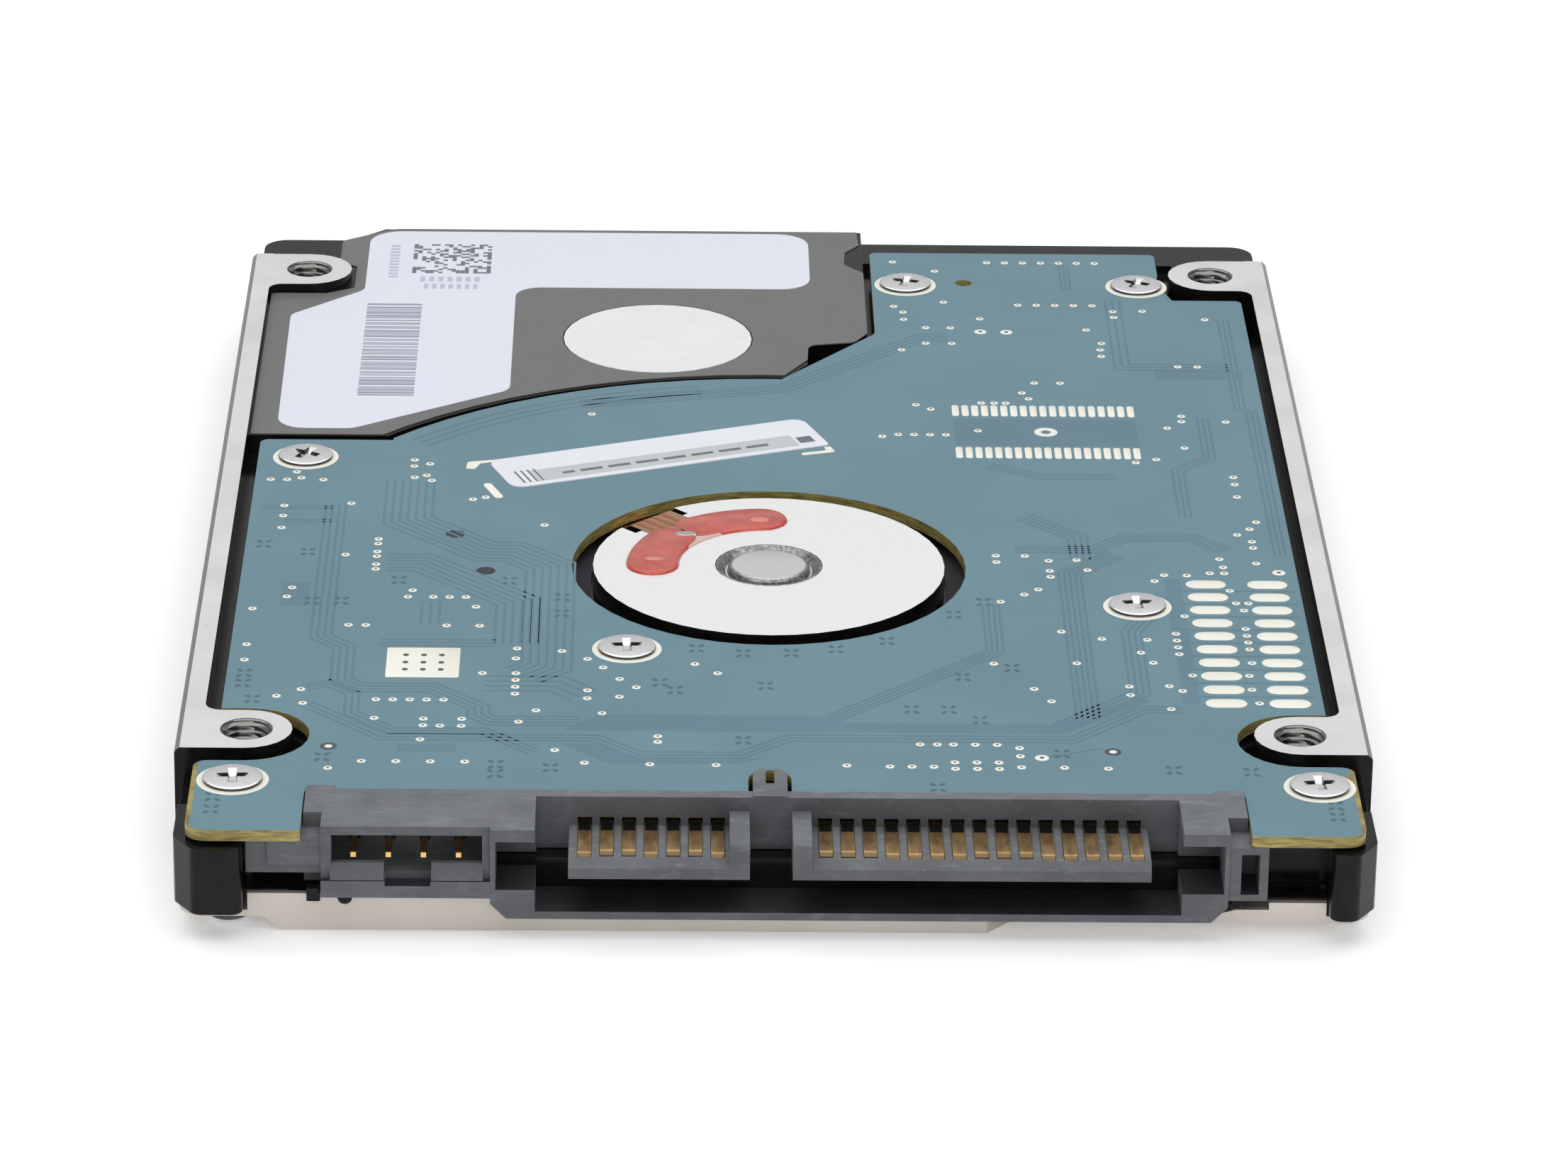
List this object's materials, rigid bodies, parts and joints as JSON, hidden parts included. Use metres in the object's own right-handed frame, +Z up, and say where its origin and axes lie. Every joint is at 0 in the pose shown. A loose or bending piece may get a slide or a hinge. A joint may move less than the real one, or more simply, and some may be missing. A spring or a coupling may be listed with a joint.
{
  "type": "hard disk drive",
  "caption": "Slim laptop hard disk drive with spinning disk, swinging head arm, circuit board and serial data and power connector.",
  "frame": {"origin": "centre of the plane that the top cover rests on, under the middle of the drive", "axes": "+Z up through the circuit board side, +Y along the long side away from the connector, X across the width"},
  "size_m": [0.0698, 0.1004, 0.007],
  "materials": {
    "actuator_arm": "machined",
    "actuator_latch": "moulded",
    "base_casting": "glossy black dip coat on die cast aluminium, bare machined faces",
    "board_insulator": "foam film",
    "board_label": "white film with grey bars",
    "screw_steel": "nickel plated steel",
    "slider_ceramic": "sintered ceramic",
    "spring_steel": "stainless foil",
    "breather_filter": "carbon filter pack",
    "chip_plastic": "moulded epoxy",
    "circuit_board": "solder resist over glass laminate, cream pads",
    "cover_gasket": "moulded elastomer",
    "crash_stop": "moulded rubber",
    "disk_clamp": "stamped",
    "drive_label": "printed film, dark grey with pale panels",
    "head_connector": "moulded",
    "head_flex": "polyimide film",
    "jumper_pins": "gold plated",
    "latch_pin": "ground steel",
    "load_ramp": "moulded acetal",
    "motor_flex": "polyimide film with copper tracks",
    "motor_resin": "translucent red potting resin",
    "motor_sleeve": "polished steel ring",
    "pivot_bearing": "ground steel",
    "pivot_seal": "white film seal",
    "pivot_shaft": "ground steel",
    "platter": "sputtered disk surface",
    "contact_gold": "gold flashed copper alloy",
    "recirculation_filter": "electret fibre pad",
    "rotor_magnet": "bonded magnet, coated",
    "sata_housing": "glass filled nylon, slate grey",
    "spindle_hub": "turned",
    "stator_core": "laminated silicon steel",
    "stator_windings": "enamelled copper wire",
    "top_cover": "stainless sheet, fine brushed",
    "plated_steel": "nickel plated steel",
    "vcm_magnet": "nickel plated neodymium",
    "voice_coil": "bonded enamelled wire"
  },
  "bodies": {
    "chassis": {"base_casting": "base_casting", "board_insulator": "board_insulator", "board_label": "board_label", "board_screw_1": "screw_steel", "board_screw_2": "screw_steel", "board_screw_3": "screw_steel", "board_screw_4": "screw_steel", "board_screw_5": "screw_steel", "board_screw_6": "screw_steel", "board_screw_7": "screw_steel", "breather_filter": "breather_filter", "cache_chip": "chip_plastic", "circuit_board": "circuit_board", "controller_chip": "chip_plastic", "cover_gasket": "cover_gasket", "cover_screw_1": "screw_steel", "cover_screw_2": "screw_steel", "cover_screw_3": "screw_steel", "cover_screw_4": "screw_steel", "cover_screw_5": "screw_steel", "cover_screw_6": "screw_steel", "crash_stop": "crash_stop", "drive_label": "drive_label", "flash_chip": "chip_plastic", "head_connector": "head_connector", "head_flex": "head_flex", "jumper_pins": "jumper_pins", "latch_pin": "latch_pin", "load_ramp": "load_ramp", "motor_driver_chip": "chip_plastic", "motor_flex": "motor_flex", "motor_resin": "motor_resin", "motor_sleeve": "motor_sleeve", "pivot_screw": "screw_steel", "pivot_seal": "pivot_seal", "pivot_shaft": "pivot_shaft", "power_contacts": "contact_gold", "recirculation_filter": "recirculation_filter", "sata_housing": "sata_housing", "signal_contacts": "contact_gold", "stator_core": "stator_core", "stator_windings": "stator_windings", "top_cover": "top_cover", "vcm_board_side_plate": "plated_steel", "vcm_cover_side_plate": "plated_steel", "vcm_magnet": "vcm_magnet"},
    "spindle": {"spindle_hub": "spindle_hub", "rotor_magnet": "rotor_magnet", "platter": "platter", "disk_clamp": "disk_clamp", "clamp_screw": "screw_steel"},
    "actuator": {"actuator_arm": "actuator_arm", "pivot_bearing": "pivot_bearing", "voice_coil": "voice_coil", "cover_side_suspension": "spring_steel", "board_side_suspension": "spring_steel", "cover_side_slider": "slider_ceramic", "board_side_slider": "slider_ceramic"},
    "latch": {"actuator_latch": "actuator_latch"}
  },
  "joints": [
    {"name": "spindle_spin", "type": "hinge", "parent": "chassis", "child": "spindle", "pos_m": [0, -0.0104, 0.0025], "axis": [0, 0, 1], "continuous": true},
    {"name": "actuator_swing", "type": "hinge", "parent": "chassis", "child": "actuator", "pos_m": [-0.007, 0.02925, 0.0025], "axis": [0, 0, 1], "range_deg": [-30, 0], "deforming": ["head_flex"]},
    {"name": "latch_swing", "type": "hinge", "parent": "chassis", "child": "latch", "pos_m": [-0.0025, 0.046, 0.003], "axis": [0, 0, 1], "range_deg": [0, 14]}
  ]
}
